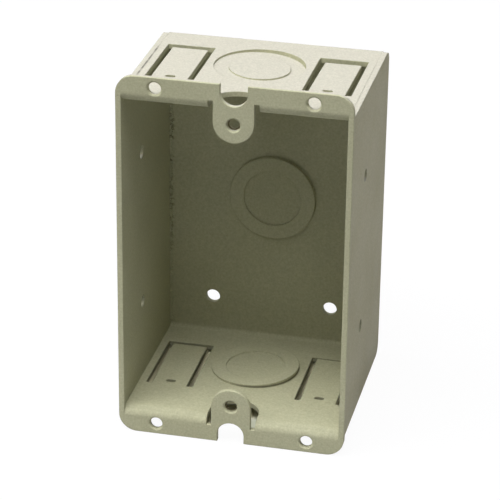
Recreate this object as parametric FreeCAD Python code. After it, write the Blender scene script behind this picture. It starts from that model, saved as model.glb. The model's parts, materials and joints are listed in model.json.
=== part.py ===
# One-gang steel switch box: a folded wrap with flanges, closed by two flat side plates.
# Frame: origin at the middle of the front opening, in the plane of the flanges' front faces.
# X runs to the right seen from the front, Y runs into the box, Z runs up. Sizes in millimetres.
import FreeCAD, Part
import math
import os
from FreeCAD import Vector

os.makedirs("parts", exist_ok=True)

# Sheet and outer sizes of the box
sheet = 1.5
box_width = 63.5
box_height = 93.7
box_depth = 52.4
flange_height = 5.9
bend_inner = 1.2
flange_corner = 5.0
plate_corner = 3.4
weld_gap = 0.0

# Device ears and the openings that go with them
device_spacing = 83.34
device_hole_r = 1.75
device_hole_chamfer = 0.35
ear_width = 11.0
ear_tip = 5.0
relief_width = 1.4
lance_depth = 11.2
notch_width = 7.5
notch_depth = 6.0

# Screw holes in the flanges, the back and the side plates
flange_hole_r = 1.75
flange_hole_chamfer = 0.4
flange_hole_x = 42.4
flange_hole_inset = 3.0
back_hole_r = 2.05
back_hole_x = 34.8
back_hole_z = -34.2
side_hole_r = 1.8
side_hole_y = 20.3
side_hole_z = 45.2

# Double knockouts: the ring is set inward, further at its right side than at its left,
# and the slug inside it stands back out from the ring
ring_r = 12.5
slug_r = 8.4
ring_drop_left = 0.5
ring_drop_right = 1.4
wall_slug_rise = 0.4
back_slug_rise = 0.6
wall_knockout_y = 31.0
back_knockout_z = -0.7

# Pry-out tabs, two in the top wall and two in the bottom wall, midway between knockout and edge:
# each is cut free on three sides, hangs on its front end and is set a little inward at its back end
tab_width = 10.0
slot_width = 1.7
tab_hinge_y = 15.2
tab_end_y = 39.3
tab_drop_left = 0.2
tab_drop_right = 0.6
pry_slot_length = 2.8
pry_slot_width = 1.5
pry_slot_y = 17.4

# Values that follow from the ones above
half_width = box_width / 2
half_height = box_height / 2
half_flange = half_height + flange_height
bend_outer = bend_inner + sheet
wrap_half = half_width - sheet - weld_gap
ear_half = ear_width / 2
lance_half = ear_half + relief_width
flat_start_z = half_height + bend_inner
ear_round_z = device_spacing / 2 - ear_tip + ear_half
flange_hole_z = half_flange - flange_hole_inset
tab_x = (ring_r + wrap_half) / 2


def arc(centre, radius, angle_from, angle_to):
    """Arc in the Y-Z plane, angles from +Y towards +Z."""
    points = []
    for angle in (angle_from, (angle_from + angle_to) / 2, angle_to):
        turn = math.radians(angle)
        points.append(Vector(0, centre[0] + radius * math.cos(turn), centre[1] + radius * math.sin(turn)))
    return Part.Arc(points[0], points[1], points[2]).toShape()


def line(y1, z1, y2, z2):
    return Part.makeLine(Vector(0, y1, z1), Vector(0, y2, z2))


def wrap_section():
    """Section of the folded sheet: flange, top wall, back, bottom wall, flange."""
    h = half_height
    f = half_flange
    d = box_depth
    s = sheet
    front_centre = (s + bend_inner, h + bend_inner)
    back_centre = (d - bend_outer, h - bend_outer)
    low_back_centre = (d - bend_outer, -h + bend_outer)
    low_front_centre = (s + bend_inner, -h - bend_inner)
    edges = [
        line(s, f, s, front_centre[1]),
        arc(front_centre, bend_inner, 180, 270),
        line(front_centre[0], h, back_centre[0], h),
        arc(back_centre, bend_outer, 90, 0),
        line(d, back_centre[1], d, low_back_centre[1]),
        arc(low_back_centre, bend_outer, 0, -90),
        line(low_back_centre[0], -h, low_front_centre[0], -h),
        arc(low_front_centre, bend_inner, 90, 180),
        line(s, low_front_centre[1], s, -f),
        line(s, -f, 0, -f),
        line(0, -f, 0, low_front_centre[1]),
        arc(low_front_centre, bend_outer, 180, 90),
        line(low_front_centre[0], -h + s, low_back_centre[0], -h + s),
        arc(low_back_centre, bend_inner, -90, 0),
        line(d - s, low_back_centre[1], d - s, back_centre[1]),
        arc(back_centre, bend_inner, 0, 90),
        line(back_centre[0], h - s, front_centre[0], h - s),
        arc(front_centre, bend_outer, 270, 180),
        line(0, front_centre[1], 0, f),
        line(0, f, s, f),
    ]
    return Part.Face(Part.Wire(edges))


def box_at(x1, x2, y1, y2, z1, z2):
    return Part.makeBox(x2 - x1, y2 - y1, z2 - z1, Vector(x1, y1, z1))


def flange_outline():
    """Full front outline with rounded corners, carried back through the whole depth."""
    solid = box_at(-half_width, half_width, 0, box_depth, -half_flange, half_flange)
    upright = [e for e in solid.Edges if abs(e.Length - box_depth) < 0.01]
    return solid.makeFillet(flange_corner, upright)


def flange_ends(side):
    """The flange runs over the side plates' ends to the full width of the box."""
    solids = []
    for x1 in (-half_width, wrap_half):
        z1 = half_height if side > 0 else -half_flange
        z2 = half_flange if side > 0 else -half_height
        solids.append(box_at(x1, x1 + half_width - wrap_half, 0, sheet, z1, z2))
    return solids


def lance_opening(side):
    """Opening left in wall and bend where the ear was folded out of the sheet."""
    inner_z = half_height - sheet - 1
    height = flat_start_z - inner_z
    z1 = inner_z if side > 0 else -flat_start_z
    straight = lance_depth - lance_half
    slab = Part.makeBox(2 * lance_half, straight + 1, height, Vector(-lance_half, -1, z1))
    end = Part.makeCylinder(lance_half, height, Vector(0, straight, z1), Vector(0, 0, 1))
    return slab.fuse(end)


def ear(side):
    """Ear in the plane of the flange, with the device screw's hole."""
    centre_z = side * ear_round_z
    top_z = side * (flat_start_z + 1)
    z1 = min(centre_z, top_z)
    z2 = max(centre_z, top_z)
    body = box_at(-ear_half, ear_half, 0, sheet, z1, z2)
    return body.fuse(Part.makeCylinder(ear_half, sheet, Vector(0, 0, centre_z), Vector(0, 1, 0)))


def outer_notch(side):
    """Notch open at the flange's outer edge, ending in a half circle."""
    r = notch_width / 2
    centre_z = side * (half_flange - notch_depth + r)
    far_z = side * (half_flange + 1)
    z1 = min(centre_z, far_z)
    z2 = max(centre_z, far_z)
    straight = box_at(-r, r, -1, sheet + 1, z1, z2)
    return straight.fuse(Part.makeCylinder(r, sheet + 2, Vector(0, -1, centre_z), Vector(0, 1, 0)))


def sloping_disc(centre, inward, radius, rise):
    """Disc of the sheet set inward by the ring's drops, less the rise, with its edge square to the wall."""
    across = Vector(1, 0, 0)
    sideways = across.cross(inward)
    reach = ring_r + 1
    slope = (ring_drop_right - ring_drop_left) / (2 * ring_r)
    middle_drop = (ring_drop_left + ring_drop_right) / 2 - rise
    corners = []
    for x, layer in ((-reach, 0), (reach, 0), (reach, sheet), (-reach, sheet), (-reach, 0)):
        corners.append(centre + across * x + inward * (middle_drop + slope * x + layer) - sideways * reach)
    slab = Part.Face(Part.makePolygon(corners)).extrude(sideways * (2 * reach))
    column = Part.makeCylinder(radius, 6 * sheet, centre - inward * (2 * sheet), inward)
    return slab.common(column)


def knockout(centre, inward, slug_rise):
    """Piece of wall to cut out, and the ring and slug that hang in it; centre lies on the outer face."""
    blank = Part.makeCylinder(ring_r, sheet, centre, inward)
    slug_column = Part.makeCylinder(slug_r, 6 * sheet, centre - inward * (2 * sheet), inward)
    ring = sloping_disc(centre, inward, ring_r, 0).cut(slug_column)
    return blank, ring.fuse(sloping_disc(centre, inward, slug_r, slug_rise))


def tab_profile(x1, x2, side, drop):
    """Tab in the top or bottom wall: level with the wall at its hinge, sloping inward to its free end."""
    z_out = side * half_height
    z_in = side * (half_height - sheet)
    points = [
        Vector(x1, tab_hinge_y, z_out),
        Vector(x1, tab_end_y, z_out - side * drop),
        Vector(x1, tab_end_y, z_in - side * drop),
        Vector(x1, tab_hinge_y, z_in),
        Vector(x1, tab_hinge_y, z_out),
    ]
    return Part.Face(Part.makePolygon(points)).extrude(Vector(x2 - x1, 0, 0))


def pry_slot(x, side):
    """Short slot for a screwdriver's blade, across the tab near its hinge."""
    r = pry_slot_width / 2
    half = pry_slot_length / 2 - r
    z1 = side * half_height - sheet - 1
    height = 2 * sheet + 2
    slab = Part.makeBox(2 * half, 2 * r, height, Vector(x - half, pry_slot_y - r, z1))
    left = Part.makeCylinder(r, height, Vector(x - half, pry_slot_y, z1), Vector(0, 0, 1))
    right = Part.makeCylinder(r, height, Vector(x + half, pry_slot_y, z1), Vector(0, 0, 1))
    return slab.fuse([left, right])


def add_tab(wrap, x_side, side):
    """Cut the tab's window in the wall and hang the tab in it, with a slot round its three free sides."""
    x1 = x_side * tab_x - tab_width / 2
    x2 = x_side * tab_x + tab_width / 2
    z_low = min(side * half_height, side * (half_height - sheet)) - 0.5
    window_back = tab_end_y + slot_width
    window = box_at(x1 - slot_width, x2 + slot_width, tab_hinge_y, window_back, z_low, z_low + sheet + 1)
    drop = tab_drop_right if x_side > 0 else tab_drop_left
    wrap = wrap.cut(window).fuse(tab_profile(x1, x2, side, drop))
    return wrap.cut(pry_slot(x_side * tab_x, side))


def round_hole(x, z, radius, y_from, y_to):
    return Part.makeCylinder(radius, y_to - y_from, Vector(x, y_from, z), Vector(0, 1, 0))


def chamfered_hole(x, z, radius, chamfer):
    """Screw hole through the front sheet, chamfered at the front."""
    cone = Part.makeCone(radius + chamfer, radius, chamfer, Vector(x, 0, z), Vector(0, 1, 0))
    return cone.fuse(round_hole(x, z, radius, 0, sheet + 1))


def make_wrap():
    section = wrap_section()
    section.translate(Vector(-wrap_half, 0, 0))
    wrap = section.extrude(Vector(2 * wrap_half, 0, 0))
    wrap = wrap.fuse(flange_ends(1) + flange_ends(-1))
    wrap = wrap.common(flange_outline())
    for side in (1, -1):
        wrap = wrap.cut(lance_opening(side))
        wrap = wrap.fuse(ear(side))
        wrap = wrap.cut(outer_notch(side))
        wrap = wrap.cut(chamfered_hole(0, side * device_spacing / 2, device_hole_r, device_hole_chamfer))
        for x_side in (1, -1):
            x = x_side * flange_hole_x / 2
            wrap = wrap.cut(chamfered_hole(x, side * flange_hole_z, flange_hole_r, flange_hole_chamfer))
            wrap = add_tab(wrap, x_side, side)
        centre = Vector(0, wall_knockout_y, side * half_height)
        blank, filling = knockout(centre, Vector(0, 0, -side), wall_slug_rise)
        wrap = wrap.cut(blank).fuse(filling)
    centre = Vector(0, box_depth, back_knockout_z)
    blank, filling = knockout(centre, Vector(0, -1, 0), back_slug_rise)
    wrap = wrap.cut(blank).fuse(filling)
    for x_side in (1, -1):
        x = x_side * back_hole_x / 2
        hole = round_hole(x, back_hole_z, back_hole_r, box_depth - sheet - 1, box_depth + 1)
        wrap = wrap.cut(hole)
    return wrap.removeSplitter()


def make_side_plate(x_side):
    """Flat plate over the wrap's side edges, flush with its outer faces."""
    x1 = half_width - sheet if x_side > 0 else -half_width
    plate = box_at(x1, x1 + sheet, 0, box_depth, -half_height, half_height)
    back_edges = []
    for edge in plate.Edges:
        middle = edge.CenterOfMass
        if abs(middle.y - box_depth) < 0.01 and abs(abs(middle.z) - half_height) < 0.01:
            back_edges.append(edge)
    plate = plate.makeFillet(plate_corner, back_edges)
    for side in (1, -1):
        start = Vector(x1 - 1, side_hole_y, side * side_hole_z / 2)
        plate = plate.cut(Part.makeCylinder(side_hole_r, sheet + 2, start, Vector(1, 0, 0)))
    return plate


def export(shape, name):
    if shape.ShapeType != "Solid" and len(shape.Solids) == 1:
        shape = shape.Solids[0]
    shape.exportStep("parts/" + name + ".step")
    bounds = shape.BoundBox
    print(name, "solids", len(shape.Solids), "valid", shape.isValid(), "volume", round(shape.Volume, 1),
          "x", round(bounds.XMin, 2), round(bounds.XMax, 2), "y", round(bounds.YMin, 2), round(bounds.YMax, 2),
          "z", round(bounds.ZMin, 2), round(bounds.ZMax, 2))


export(make_wrap(), "wrap")
export(make_side_plate(-1), "side_plate_left")
export(make_side_plate(1), "side_plate_right")
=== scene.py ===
import json
import math

import bpy
from mathutils import Matrix, Vector


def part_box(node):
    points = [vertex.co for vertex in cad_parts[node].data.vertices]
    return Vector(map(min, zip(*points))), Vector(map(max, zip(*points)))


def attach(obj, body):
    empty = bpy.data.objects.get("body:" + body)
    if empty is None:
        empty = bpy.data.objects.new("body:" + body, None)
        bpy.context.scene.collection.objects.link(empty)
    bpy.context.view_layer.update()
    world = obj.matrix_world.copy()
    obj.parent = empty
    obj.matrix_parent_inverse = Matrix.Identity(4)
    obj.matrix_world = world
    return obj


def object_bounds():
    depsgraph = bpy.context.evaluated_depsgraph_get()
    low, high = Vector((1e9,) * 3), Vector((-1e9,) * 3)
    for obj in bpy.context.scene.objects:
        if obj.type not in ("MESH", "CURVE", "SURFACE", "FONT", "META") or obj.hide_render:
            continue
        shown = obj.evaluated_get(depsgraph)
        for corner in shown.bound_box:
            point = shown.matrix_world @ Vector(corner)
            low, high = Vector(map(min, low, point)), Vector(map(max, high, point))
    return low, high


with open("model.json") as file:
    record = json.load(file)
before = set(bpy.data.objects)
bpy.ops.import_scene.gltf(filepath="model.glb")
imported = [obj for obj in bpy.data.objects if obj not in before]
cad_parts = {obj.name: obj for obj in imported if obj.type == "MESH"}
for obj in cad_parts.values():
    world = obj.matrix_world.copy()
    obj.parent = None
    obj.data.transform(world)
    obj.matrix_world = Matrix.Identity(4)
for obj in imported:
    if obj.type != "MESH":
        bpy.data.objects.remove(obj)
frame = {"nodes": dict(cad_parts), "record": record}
cadLow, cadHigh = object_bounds()
scene = bpy.context.scene
scene.view_settings.view_transform = "Standard"
print("frame loaded:", ", ".join(sorted(frame["nodes"])))

# What the frame gives, in metres: the sheet, the inside faces of the walls and the screw holes
plateLow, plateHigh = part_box("side_plate_right")
sheet = plateHigh.x - plateLow.x
insideX, insideY, insideZ = plateLow.x, cadHigh.y - sheet, plateHigh.z - sheet
middle = (cadLow + cadHigh) / 2
mounts = {mount["name"]: mount for mount in frame["record"]["mounts"]}
earZ = mounts["device_screws"]["dims"]["spacing_y_mm"] / 2000
sideHoleY = mounts["side_screws_left"]["pos_m"][1]
sideHoleZ = mounts["side_screws_left"]["dims"]["spacing_y_mm"] / 2000
sideHoleRadius = mounts["side_screws_left"]["dims"]["hole_r_mm"] / 1000

# Camera: stands in front of the box, to its right and above it, angles in degrees and place in metres
cameraValues = {
    "yaw": 12.62,
    "pitch": 25.35,
    "roll": 0.76,
    "place": (0.12957, -0.55691, 0.27700),
    "lens": 171.55,
    "sensor": 36.0,
    "clip": (0.01, 50.0),
}


def addCamera(values):
    yaw, pitch, roll = (math.radians(values[name]) for name in ("yaw", "pitch", "roll"))
    ahead = Vector((-math.sin(yaw) * math.cos(pitch), math.cos(yaw) * math.cos(pitch), -math.sin(pitch)))
    level = Vector((math.cos(yaw), math.sin(yaw), 0.0))
    above = level.cross(ahead)
    right = level * math.cos(roll) + above * math.sin(roll)
    up = above * math.cos(roll) - level * math.sin(roll)
    data = bpy.data.cameras.new("photoCamera")
    data.sensor_width = values["sensor"]
    data.lens = values["lens"]
    data.clip_start, data.clip_end = values["clip"]
    camera = bpy.data.objects.new("photoCamera", data)
    scene.collection.objects.link(camera)
    turn = Matrix((right, up, -ahead)).transposed().to_4x4()
    camera.matrix_world = Matrix.Translation(Vector(values["place"])) @ turn
    scene.camera = camera


addCamera(cameraValues)
print("camera placed")


# Small helpers for node trees
def addNode(tree, kind, links=None, **settings):
    node = tree.nodes.new(kind)
    for name, value in settings.items():
        setattr(node, name, value)
    for name, value in (links or {}).items():
        socket = node.inputs[name]
        if isinstance(value, bpy.types.NodeSocket):
            tree.links.new(value, socket)
        else:
            socket.default_value = value
    return node


def addMath(tree, operation, *given, clamp=False):
    links = dict(enumerate(given))
    return addNode(tree, "ShaderNodeMath", links, operation=operation, use_clamp=clamp).outputs[0]


def addProduct(tree, first, *others):
    for other in others:
        first = addMath(tree, "MULTIPLY", first, other)
    return first


def addRamp(tree, value, start, end, low=0.0, high=1.0, smooth=True):
    links = {"Value": value, "From Min": start, "From Max": end, "To Min": low, "To Max": high}
    kind = "SMOOTHSTEP" if smooth else "LINEAR"
    return addNode(tree, "ShaderNodeMapRange", links, interpolation_type=kind).outputs["Result"]


def addFall(tree, value, start, end):
    return addRamp(tree, value, start, end, 1.0, 0.0)


def addDistance(tree, across, along):
    squares = [addMath(tree, "MULTIPLY", value, value) for value in (across, along)]
    return addMath(tree, "SQRT", addMath(tree, "ADD", *squares))


def addSplit(tree, vector):
    return addNode(tree, "ShaderNodeSeparateXYZ", {"Vector": vector}).outputs


def addVectorMath(tree, operation, first, second):
    return addNode(tree, "ShaderNodeVectorMath", {0: first, 1: second}, operation=operation).outputs


def addNoise(tree, place, size, detail=2.0, rough=0.6):
    links = {"Vector": place, "Scale": 1 / size, "Detail": detail, "Roughness": rough}
    return addNode(tree, "ShaderNodeTexNoise", links).outputs["Fac"]


def addPatches(tree, place, size, band, low=0.0, high=1.0, detail=2.0, rough=0.6):
    return addRamp(tree, addNoise(tree, place, size, detail, rough), *band, low, high)


def addColourMix(tree, share, first, second):
    node = addNode(tree, "ShaderNodeMix", {"Factor": share}, data_type="RGBA")
    for index, colour in ((6, first), (7, second)):  # sockets 6 and 7 take the colours, 2 gives the mix
        if isinstance(colour, bpy.types.NodeSocket):
            tree.links.new(colour, node.inputs[index])
        else:
            node.inputs[index].default_value = (*colour, 1.0)
    return node.outputs[2]


def startMaterial(name):
    material = bpy.data.materials.new(name)
    material.use_nodes = True
    material.node_tree.nodes.clear()
    place = addNode(material.node_tree, "ShaderNodeTexCoord").outputs["Object"]
    return material, material.node_tree, place


# Painted shade and light, and weld pits: each function gives the share by which the paint is darker in its
# place.
# The first is painted light on the flanges, lower and upper; the lower one is painted lighter, so its share
# is below zero.
flangeLightValues = {
    "front": (0.0006, 0.0009),
    "heights": (-0.045, 0.040),
    "shades": (-0.11, 0.035),
}


def addFlangePaintedLight(tree, split, values):
    atFront = addFall(tree, split["Y"], *values["front"])
    shade = addRamp(tree, split["Z"], *values["heights"], *values["shades"])
    return addProduct(tree, atFront, shade)


# Painted shade in the seams where the wrap's edges meet the side plates, strongest on the left
seamValues = {
    "widths": (0.00016, 0.00040),
    "front": (0.0014, 0.0016),
    "back": (0.0370, 0.0410),
    "heights": (0.0460, 0.0464),
    "leftToRight": (-0.01, 0.01),
    "rightShare": 0.12,
    "patches": {"size": 0.003846, "band": (0.35, 0.60), "low": 0.35},
    "shade": 0.62,
}


def addSeamPaintedShade(tree, split, place, values):
    fromMiddle = addMath(tree, "ABSOLUTE", split["X"])
    fromSeam = addMath(tree, "ABSOLUTE", addMath(tree, "SUBTRACT", fromMiddle, insideX))
    line = addFall(tree, fromSeam, *values["widths"])
    front = addRamp(tree, split["Y"], *values["front"])
    back = addFall(tree, split["Y"], *values["back"])
    outer = addRamp(tree, addMath(tree, "ABSOLUTE", split["Z"]), *values["heights"])
    leftMore = addRamp(tree, split["X"], *values["leftToRight"], 1.0, values["rightShare"])
    uneven = addPatches(tree, place, **values["patches"])
    return addProduct(tree, line, front, back, outer, leftMore, uneven, values["shade"])


# Painted shade at the foot of the bottom knockout's ring, on its wall at the front right; heights are from
# the bottom wall
footValues = {
    "ringRadius": 0.0125,
    "ringY": 0.0310,
    "widths": (0.0002, 0.0004),
    "low": (0.00005, 0.00025),
    "high": (0.00050, 0.00090),
    "sector": (0.00375, 0.01500),
    "shade": 0.62,
}


def addFootPaintedShade(tree, split, values):
    forward = addMath(tree, "SUBTRACT", split["Y"], values["ringY"])
    fromRing = addMath(tree, "SUBTRACT", addDistance(tree, split["X"], forward), values["ringRadius"])
    onRing = addFall(tree, addMath(tree, "ABSOLUTE", fromRing), *values["widths"])
    height = addMath(tree, "ADD", split["Z"], insideZ)
    above = addRamp(tree, height, *values["low"])
    below = addFall(tree, height, *values["high"])
    frontRight = addRamp(tree, addMath(tree, "SUBTRACT", split["X"], forward), *values["sector"])
    return addProduct(tree, onRing, above, below, frontRight, values["shade"])


# Pits beside the welds, fewer towards the bottom
pitValues = {
    "reach": (0.000525, 0.00175),
    "spots": {"size": 0.0010, "band": (0.47, 0.57)},
    "patches": {"size": 0.0090, "band": (0.40, 0.54), "low": 0.10, "detail": 1.0, "rough": 0.5},
    "heights": (-0.030, 0.010),
    "lowerShare": 0.35,
    "shade": 0.50,
}


def addPitShade(tree, split, place, values):
    across = addMath(tree, "SUBTRACT", addMath(tree, "ABSOLUTE", split["X"]), insideX)
    deep = addMath(tree, "SUBTRACT", split["Y"], insideY)
    corner = addFall(tree, addDistance(tree, across, deep), *values["reach"])
    spots = addPatches(tree, place, **values["spots"])
    patches = addPatches(tree, place, **values["patches"])
    higher = addRamp(tree, split["Z"], *values["heights"], values["lowerShare"], 1.0)
    return addProduct(tree, corner, spots, patches, higher, values["shade"])


# Painted shade on the cut faces of the holes and slots in the bottom wall, told by how little they face up
# or down
cutValues = {
    "facing": (0.5, 0.7),
    "heights": (-0.0456, -0.0454),
    "front": (0.0045, 0.0050),
    "back": (0.0470, 0.0475),
    "sideSoft": 0.0005,
    "shade": 0.25,
}


def addCutPaintedShade(tree, split, normal, values):
    cut = addFall(tree, addMath(tree, "ABSOLUTE", normal["Z"]), *values["facing"])
    inSheet = addFall(tree, split["Z"], *values["heights"])
    behind = addRamp(tree, split["Y"], *values["front"])
    before = addFall(tree, split["Y"], *values["back"])
    within = addFall(tree, addMath(tree, "ABSOLUTE", split["X"]), insideX - values["sideSoft"], insideX)
    return addProduct(tree, cut, inSheet, behind, before, within, values["shade"])


# Painted shade on the walls of the lower and upper screw holes in the side plates, more at the lower holes
holeValues = {
    "rim": (0.00004, 0.00012),
    "sideSoft": 0.0005,
    "shades": (0.40, 0.18),
}


def addHolePaintedShade(tree, split, values):
    forward = addMath(tree, "SUBTRACT", split["Y"], sideHoleY)
    upward = addMath(tree, "SUBTRACT", addMath(tree, "ABSOLUTE", split["Z"]), sideHoleZ)
    start, end = (sideHoleRadius + rim for rim in values["rim"])
    wall = addFall(tree, addDistance(tree, forward, upward), start, end)
    inPlate = addRamp(tree, addMath(tree, "ABSOLUTE", split["X"]), insideX - values["sideSoft"], insideX)
    shade = addRamp(tree, split["Z"], -sideHoleZ, sideHoleZ, *values["shades"], False)
    return addProduct(tree, wall, inPlate, shade)


# Outside of the box, painted light: greyer paint on the top and bottom, a little browner on the sides and
# the back
litOutsideValues = {
    "litTopColour": (0.438, 0.420, 0.342),
    "litSideColour": (0.418, 0.392, 0.262),
    "outward": (0.012, 0.018),
    "front": (0.0006, 0.0009),
    "facing": (0.5, 0.8),
    "sideSoft": 0.001,
}


# Lit copies of the inside paint: the greyer top and bottom stand in for the pale highlight of the lit top
def addLitOutsideColour(tree, inner, place, split, facing, normal, values):
    fromMiddle = addVectorMath(tree, "SUBTRACT", place, middle)["Vector"]
    outward = addVectorMath(tree, "DOT_PRODUCT", facing, fromMiddle)["Value"]
    outer = addRamp(tree, outward, *values["outward"])
    behindFlange = addRamp(tree, split["Y"], *values["front"])
    sideways = addRamp(tree, addMath(tree, "ABSOLUTE", normal["X"]), *values["facing"])
    inside = addFall(tree, addMath(tree, "ABSOLUTE", split["X"]), insideX - values["sideSoft"], insideX)
    notSlot = addMath(tree, "SUBTRACT", 1.0, addProduct(tree, sideways, inside))
    upright = addFall(tree, addMath(tree, "ABSOLUTE", normal["Z"]), *values["facing"])
    outside = addColourMix(tree, upright, values["litTopColour"], values["litSideColour"])
    return addColourMix(tree, addProduct(tree, outer, behindFlange, notSlot), inner, outside)


# Baked grey-beige paint over steel, sprayed thick enough to round the edges and fill the corners
paintValues = {
    "colour": (0.440, 0.434, 0.290),
    "cloudyColour": (0.424, 0.417, 0.274),
    "clouds": {"size": 0.030, "band": (0.35, 0.65), "detail": 3.0, "rough": 0.55},
    "speckSize": 0.00055,
    "speckDepth": 0.10,
    "mottleSize": 0.0015,
    "mottleDepth": 0.035,
    "unevenBand": (0.30, 0.70),
    "dullSize": 0.012,
    "roughness": (0.58, 0.70),
    "shine": 0.14,
    "edgeRadius": 0.00036,
    "edgeSamples": 6,
    "peelSize": 0.0011,
    "peelHeight": 0.000030,
    "gritHeight": 0.000009,
}


# Painted light and shade, the weld pits, and the lit outside colour, all put on the paint
def addPaintedLightAndPits(tree, place, base, shade):
    split = addSplit(tree, place)
    facing = addNode(tree, "ShaderNodeNewGeometry").outputs["True Normal"]
    normal = addSplit(tree, facing)
    paintedLightAndPits = (addFlangePaintedLight(tree, split, flangeLightValues), addSeamPaintedShade(tree, split, place, seamValues),
             addFootPaintedShade(tree, split, footValues), addPitShade(tree, split, place, pitValues),
             addCutPaintedShade(tree, split, normal, cutValues), addHolePaintedShade(tree, split, holeValues))
    for darkening in paintedLightAndPits:
        shade = addMath(tree, "MULTIPLY", shade, addMath(tree, "SUBTRACT", 1.0, darkening))
    return addLitOutsideColour(tree, base, place, split, facing, normal, litOutsideValues), shade


def addPaintRelief(tree, place, specks, values):
    rounded = addNode(tree, "ShaderNodeBevel", {"Radius": values["edgeRadius"]},
                      samples=values["edgeSamples"])
    normal = rounded.outputs["Normal"]
    ripple = addNoise(tree, place, values["peelSize"], rough=0.5)
    for height, distance in ((ripple, values["peelHeight"]), (specks, values["gritHeight"])):
        bump = addNode(tree, "ShaderNodeBump", {"Height": height, "Distance": distance, "Normal": normal})
        normal = bump.outputs["Normal"]
    return normal


def makePaint(name, values, withPaintedLightAndPits):
    material, tree, place = startMaterial(name)
    clouds = addPatches(tree, place, **values["clouds"])
    base = addColourMix(tree, clouds, values["colour"], values["cloudyColour"])
    specks = addNoise(tree, place, values["speckSize"])
    mottles = addNoise(tree, place, values["mottleSize"], 3.0)
    grain = []
    for pattern, depth in ((specks, values["speckDepth"]), (mottles, values["mottleDepth"])):
        grain.append(addRamp(tree, pattern, *values["unevenBand"], 1 - depth, 1 + depth, False))
    shade = addProduct(tree, *grain)
    if withPaintedLightAndPits:
        base, shade = addPaintedLightAndPits(tree, place, base, shade)
    painted = addNode(tree, "ShaderNodeVectorMath", {0: base, "Scale": shade}, operation="SCALE")
    dullness = addNoise(tree, place, values["dullSize"], 4.0)
    roughness = addRamp(tree, dullness, *values["unevenBand"], *values["roughness"])
    surface = addNode(tree, "ShaderNodeBsdfPrincipled", {
        "Base Color": painted.outputs["Vector"], "Roughness": roughness,
        "Specular IOR Level": values["shine"], "Normal": addPaintRelief(tree, place, specks, values)})
    addNode(tree, "ShaderNodeOutputMaterial", {"Surface": surface.outputs["BSDF"]})
    return material


def dressNode(node, material):
    if not node.material_slots:
        node.data.materials.append(material)
    for slot in node.material_slots:
        slot.material = material


wrapPaint = makePaint("wrapPaint", paintValues, True)
platePaint = makePaint("platePaint", paintValues, True)
dressNode(frame["nodes"]["wrap"], wrapPaint)
for side in ("left", "right"):
    dressNode(frame["nodes"]["side_plate_" + side], platePaint)
print("paint on the wrap and the side plates")


# Helpers for pieces that are grown by geometry nodes
def startTree(name, inputs):
    tree = bpy.data.node_groups.new(name, "GeometryNodeTree")
    tree.interface.new_socket(name="Geometry", in_out="OUTPUT", socket_type="NodeSocketGeometry")
    for label, kind in inputs.items():
        tree.interface.new_socket(name=label, in_out="INPUT", socket_type="NodeSocket" + kind)
    return tree, addNode(tree, "NodeGroupInput").outputs


def growPiece(name, tree, inputs):
    holder = bpy.data.objects.new(name + "Holder", bpy.data.meshes.new(name + "Holder"))
    scene.collection.objects.link(holder)
    modifier = holder.modifiers.new("grow", "NODES")
    modifier.node_group = tree
    for item in tree.interface.items_tree:
        if item.item_type == "SOCKET" and item.in_out == "INPUT":
            modifier[item.identifier] = inputs[item.name]
    graph = bpy.context.evaluated_depsgraph_get()
    mesh = bpy.data.meshes.new_from_object(holder.evaluated_get(graph), depsgraph=graph)
    holder.modifiers.clear()
    bpy.data.objects.remove(holder)
    mesh.name = name
    piece = bpy.data.objects.new(name, mesh)
    scene.collection.objects.link(piece)
    return piece


# Weld beads down the two inside back corners: overlapping drops of weld with a few gaps
weldValues = {
    "length": 0.0860,
    "spacing": 0.00080,
    "dropRadius": 0.00062,
    "smallest": (0.75, 0.75, 0.62),
    "largest": (1.20, 1.20, 0.95),
    "segments": 10,
    "rings": 7,
    "inset": 0.00012,
    "gapShare": 0.16,
    "seed": 7,
    "paint": {"clouds": {**paintValues["clouds"], "size": 0.006}, "dullSize": 0.0024, "peelHeight": 0.00005},
}


def makeWeldTree():
    tree, given = startTree("weldBead", {
        "Drops": "Int", "Spacing": "Float", "Start": "Vector", "Drop Radius": "Float", "Segments": "Int",
        "Rings": "Int", "Smallest": "Vector", "Largest": "Vector", "Gap Share": "Float", "Seed": "Int",
        "Material": "Material"})
    step = addNode(tree, "ShaderNodeCombineXYZ", {"Z": given["Spacing"]})
    line = addNode(tree, "GeometryNodeMeshLine", {
        "Count": given["Drops"], "Start Location": given["Start"], "Offset": step.outputs[0]})
    drop = addNode(tree, "GeometryNodeMeshUVSphere", {
        "Segments": given["Segments"], "Rings": given["Rings"], "Radius": given["Drop Radius"]})
    gap = addNode(tree, "FunctionNodeRandomValue", {
        "Probability": given["Gap Share"], "Seed": given["Seed"]}, data_type="BOOLEAN")
    keep = addNode(tree, "FunctionNodeBooleanMath", {0: gap.outputs[3]}, operation="NOT")
    size = addNode(tree, "FunctionNodeRandomValue", {
        0: given["Smallest"], 1: given["Largest"], "Seed": given["Seed"]}, data_type="FLOAT_VECTOR")
    drops = addNode(tree, "GeometryNodeInstanceOnPoints", {
        "Points": line.outputs["Mesh"], "Selection": keep.outputs[0],
        "Instance": drop.outputs["Mesh"], "Scale": size.outputs[0]})
    joined = addNode(tree, "GeometryNodeRealizeInstances", {"Geometry": drops.outputs[0]})
    smooth = addNode(tree, "GeometryNodeSetShadeSmooth", {"Geometry": joined.outputs[0]})
    dressed = addNode(tree, "GeometryNodeSetMaterial", {
        "Geometry": smooth.outputs[0], "Material": given["Material"]})
    addNode(tree, "NodeGroupOutput", {"Geometry": dressed.outputs[0]})
    return tree


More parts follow.
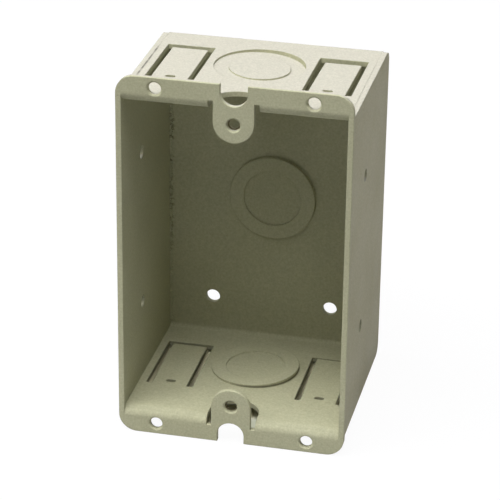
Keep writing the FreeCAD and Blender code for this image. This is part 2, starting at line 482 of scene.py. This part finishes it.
def addWeld(name, side, tree, paint, values):
    start = (side * (insideX - values["inset"]), insideY - values["inset"], -values["length"] / 2)
    piece = growPiece(name, tree, {
        "Drops": int(values["length"] / values["spacing"]) + 1, "Spacing": values["spacing"], "Start": start,
        "Drop Radius": values["dropRadius"], "Segments": values["segments"], "Rings": values["rings"],
        "Smallest": values["smallest"], "Largest": values["largest"], "Gap Share": values["gapShare"],
        "Seed": values["seed"] + side, "Material": paint})
    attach(piece, "root")
    print(name, len(piece.data.polygons), "faces")


weldTree = makeWeldTree()
weldPaint = makePaint("weldPaint", {**paintValues, **weldValues["paint"]}, True)
addWeld("weld_left", -1, weldTree, weldPaint, weldValues)
addWeld("weld_right", 1, weldTree, weldPaint, weldValues)

# Screw thread in the two device ears: a ridge that coils along each hole, painted dark brown as painted
# shade in the hole
threadValues = {
    "pitch": 0.000794,
    "turns": 1.5,
    "steps": 48,
    "coreRadius": 0.00170,
    "ridge": 0.00032,
    "ridgeSides": 4,
    "startY": 0.00110,
    # dark brown paint: painted shade inside the ear holes
    "paint": {"colour": (0.21, 0.18, 0.105), "cloudyColour": (0.17, 0.145, 0.085)},
}


def makeThreadTree():
    tree, given = startTree("earThread", {
        "Turns": "Float", "Pitch": "Float", "Steps": "Int", "Radius": "Float", "Ridge": "Float",
        "Ridge Sides": "Int", "Upper Ear": "Vector", "Lower Ear": "Vector", "Material": "Material"})
    coil = addNode(tree, "GeometryNodeCurveSpiral", {
        "Resolution": given["Steps"], "Rotations": given["Turns"], "Start Radius": given["Radius"],
        "End Radius": given["Radius"], "Height": addProduct(tree, given["Turns"], given["Pitch"])})
    ridge = addNode(tree, "GeometryNodeCurvePrimitiveCircle", {
        "Resolution": given["Ridge Sides"], "Radius": given["Ridge"]})
    thread = addNode(tree, "GeometryNodeCurveToMesh", {
        "Curve": coil.outputs[0], "Profile Curve": ridge.outputs[0], "Fill Caps": True})
    both = addNode(tree, "GeometryNodeJoinGeometry")
    for ear in ("Upper Ear", "Lower Ear"):
        moved = addNode(tree, "GeometryNodeTransform", {
            "Geometry": thread.outputs[0], "Translation": given[ear], "Rotation": (-math.pi / 2, 0.0, 0.0)})
        tree.links.new(moved.outputs[0], both.inputs[0])
    joined = addNode(tree, "GeometryNodeRealizeInstances", {"Geometry": both.outputs[0]})
    dressed = addNode(tree, "GeometryNodeSetMaterial", {
        "Geometry": joined.outputs[0], "Material": given["Material"]})
    addNode(tree, "NodeGroupOutput", {"Geometry": dressed.outputs[0]})
    return tree


def addThreads(values):
    piece = growPiece("ear_threads", makeThreadTree(), {
        "Turns": values["turns"], "Pitch": values["pitch"], "Steps": values["steps"],
        "Radius": values["coreRadius"], "Ridge": values["ridge"], "Ridge Sides": values["ridgeSides"],
        "Upper Ear": (0.0, values["startY"], earZ), "Lower Ear": (0.0, values["startY"], -earZ),
        "Material": makePaint("threadPaintedShade", {**paintValues, **values["paint"]}, False)})
    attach(piece, "root")
    print("ear_threads", len(piece.data.polygons), "faces")


addThreads(threadValues)

# Short collars behind the ears, pulled out of the sheet to give the screws more thread
collarValues = {
    "holeRadius": 0.00171,
    "wall": 0.00055,
    "rim": 0.00020,
    "startY": 0.00145,
    "endY": 0.00260,
    "steps": 48,
}


def addCollars(values):
    inside, outside = values["holeRadius"], values["holeRadius"] + values["wall"]
    front, back, rim = values["startY"], values["endY"], values["rim"]
    profile = ((inside, front), (outside, front), (outside, back - rim), (outside - rim, back),
               (inside + rim, back), (inside, back - rim))
    corners, faces = [], []
    for middleZ in (earZ, -earZ):
        first = len(corners)
        for step in range(values["steps"]):
            angle = 2 * math.pi * step / values["steps"]
            for radius, y in profile:
                corners.append((radius * math.cos(angle), y, middleZ + radius * math.sin(angle)))
        for step in range(values["steps"]):
            here, there = step * len(profile), (step + 1) % values["steps"] * len(profile)
            for edge in range(len(profile)):
                after = (edge + 1) % len(profile)
                face = (here + edge, here + after, there + after, there + edge)
                faces.append([first + spot for spot in face])
    mesh = bpy.data.meshes.new("ear_collars")
    mesh.from_pydata(corners, [], faces)
    mesh.materials.append(wrapPaint)
    piece = bpy.data.objects.new("ear_collars", mesh)
    scene.collection.objects.link(piece)
    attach(piece, "root")
    print("ear_collars", len(faces), "faces")


addCollars(collarValues)

# Floor: the box leans back on its lower flange and its lower back bend. The eye and gloss see the floor
# as white with the box's soft shadow on it, and its plain grey is what throws light back on the box.
floorValues = {
    "edgeZ": -0.05294,
    "lean": 6.95,  # degrees
    "size": 6.0,
    "bounceColour": (0.45, 0.45, 0.44),
    "seenColour": (0.80, 0.80, 0.80),
    "glowShare": 0.95,
}

# Full shade right under the box, narrow at the front where the flange ends it; its left strip is painted
# darker shade
underValues = {
    # paper seen under the box, painted olive as light bounced off the box
    "colour": (0.96, 0.92, 0.63),
    "leftShadeColour": (0.60, 0.57, 0.38),
    "leftShadeStrip": (-0.0282, -0.0262),
    "taper": (0.0130, 0.0225),
    "left": (-0.0125, -0.0318),
    "leftSoft": 0.0016,
    "right": (0.0125, 0.0280),
    "rightSoft": 0.0020,
    "frontSlant": (-0.0095, 0.0035),
    "front": (0.0064, 0.0122),
    "back": 0.0540,
    "soft": 0.0016,
}

# Painted half shadow: grey spot in the floor's white glow that shows through the gap right of the lower ear
nookShadowValues = {
    "colour": (0.47, 0.48, 0.36),
    "left": 0.0023,
    "right": (0.0085, 0.0095),
    "front": 0.0066,
    "back": 0.0150,
    "soft": 0.0003,
}


def addEdge(tree, value, edge, soft, rising=True):
    low, high = (0.0, 1.0) if rising else (1.0, 0.0)
    return addRamp(tree, value, edge - soft, edge + soft, low, high)


def addUnderShade(tree, split, values):
    leftEdge = addRamp(tree, split["Y"], *values["taper"], *values["left"], False)
    rightEdge = addRamp(tree, split["Y"], *values["taper"], *values["right"], False)
    frontEdge = addRamp(tree, split["X"], *values["frontSlant"], *values["front"], False)
    left = addEdge(tree, addMath(tree, "SUBTRACT", split["X"], leftEdge), 0.0, values["leftSoft"])
    right = addEdge(tree, addMath(tree, "SUBTRACT", rightEdge, split["X"]), 0.0, values["rightSoft"])
    front = addEdge(tree, addMath(tree, "SUBTRACT", split["Y"], frontEdge), 0.0, values["soft"])
    back = addEdge(tree, split["Y"], values["back"], values["soft"], False)
    return addProduct(tree, left, right, front, back)


def addNookShadow(tree, split, values):
    left = addEdge(tree, split["X"], values["left"], values["soft"])
    front = addEdge(tree, split["Y"], values["front"], values["soft"])
    back = addEdge(tree, split["Y"], values["back"], values["soft"], False)
    return addProduct(tree, left, front, back, addFall(tree, split["X"], *values["right"]))


def addSeenShare(tree):
    path = addNode(tree, "ShaderNodeLightPath").outputs
    seen = addMath(tree, "ADD", path["Is Camera Ray"], path["Is Glossy Ray"])
    return addMath(tree, "ADD", seen, path["Is Transmission Ray"], clamp=True)


def makeFloorMaterial(values):
    material, tree, place = startMaterial("paleFloor")
    split = addSplit(tree, place)
    seen = addSeenShare(tree)
    under = addUnderShade(tree, split, underValues)
    lit = addMath(tree, "SUBTRACT", 1.0, under)
    # under the box: paper painted olive as bounced light, its left strip painted darker as shade
    leftShadeStrip = addFall(tree, split["X"], *underValues["leftShadeStrip"])
    underPaintedLight = addColourMix(tree, leftShadeStrip, underValues["colour"], underValues["leftShadeColour"])
    plainColour = addColourMix(tree, seen, values["bounceColour"], values["seenColour"])
    paperColour = addColourMix(tree, addProduct(tree, under, seen), plainColour, underPaintedLight)
    paper = addNode(tree, "ShaderNodeBsdfDiffuse", {"Color": paperColour})
    # the glow is painted grey in the nook, a painted half shadow
    glowColour = addColourMix(tree, addNookShadow(tree, split, nookShadowValues), (1.0, 1.0, 1.0), nookShadowValues["colour"])
    glow = addNode(tree, "ShaderNodeEmission", {"Color": glowColour, "Strength": 1.0})
    share = addProduct(tree, seen, lit, values["glowShare"])
    mixed = addNode(tree, "ShaderNodeMixShader", {0: share, 1: paper.outputs[0], 2: glow.outputs[0]})
    addNode(tree, "ShaderNodeOutputMaterial", {"Surface": mixed.outputs[0]})
    return material


def addFloor(values):
    lean = math.radians(values["lean"])
    half = values["size"] / 2
    along = Vector((0.0, math.cos(lean), math.sin(lean)))
    start = Vector((0.0, 0.0, values["edgeZ"]))
    corners = []
    for x, y in ((-half, -half), (half, -half), (half, half), (-half, half)):
        corners.append(start + Vector((x, 0.0, 0.0)) + along * y)
    mesh = bpy.data.meshes.new("floor")
    mesh.from_pydata(corners, [], [(0, 1, 2, 3)])
    mesh.materials.append(makeFloorMaterial(values))
    floor = bpy.data.objects.new("floor", mesh)
    scene.collection.objects.link(floor)


addFloor(floorValues)

# Lamps: soft boxes overhead and on both sides, with more light from high in front; metres and watts
lampValues = {
    "overhead": {"place": (0.0, 0.0, 1.10), "size": (1.2, 0.9), "power": 9.6, "colour": (0.985, 1.0, 1.09)},
    "left": {"place": (-0.80, -0.20, 0.90), "size": (0.9, 0.9), "power": 8.5, "colour": (1.0, 1.0, 1.0)},
    "right": {"place": (0.80, 0.0, 0.90), "size": (0.9, 0.9), "power": 0.8, "colour": (1.0, 1.0, 1.0)},
    "front": {"place": (0.0, -0.55, 1.00), "size": (1.2, 0.8), "power": 5.35, "colour": (1.0, 1.0, 1.0)},
    "steep": {"place": (-0.16, -0.38, 1.03), "size": (0.7, 0.35), "power": 5.2, "colour": (1.0, 1.0, 1.02)},
}
lampTarget = (0.0, 0.025, 0.0)


def addLamp(name, values, target):
    data = bpy.data.lights.new(name, "AREA")
    data.shape = "RECTANGLE"
    data.size, data.size_y = values["size"]
    data.energy = values["power"]
    data.color = values["colour"]
    lamp = bpy.data.objects.new(name, data)
    scene.collection.objects.link(lamp)
    place = Vector(values["place"])
    toBox = Vector(target) - place
    lamp.matrix_world = Matrix.Translation(place) @ toBox.to_track_quat("-Z", "Y").to_matrix().to_4x4()


# World: white where it is seen, and it gives no light
def addWorld():
    world = bpy.data.worlds.new("studio")
    scene.world = world
    world.use_nodes = True
    tree = world.node_tree
    tree.nodes.clear()
    white = (1.0, 1.0, 1.0, 1.0)
    sky = addNode(tree, "ShaderNodeBackground", {"Color": white, "Strength": addSeenShare(tree)})
    addNode(tree, "ShaderNodeOutputWorld", {"Surface": sky.outputs[0]})


for lampName, values in lampValues.items():
    addLamp(lampName, values, lampTarget)
addWorld()
print("floor and lights placed")
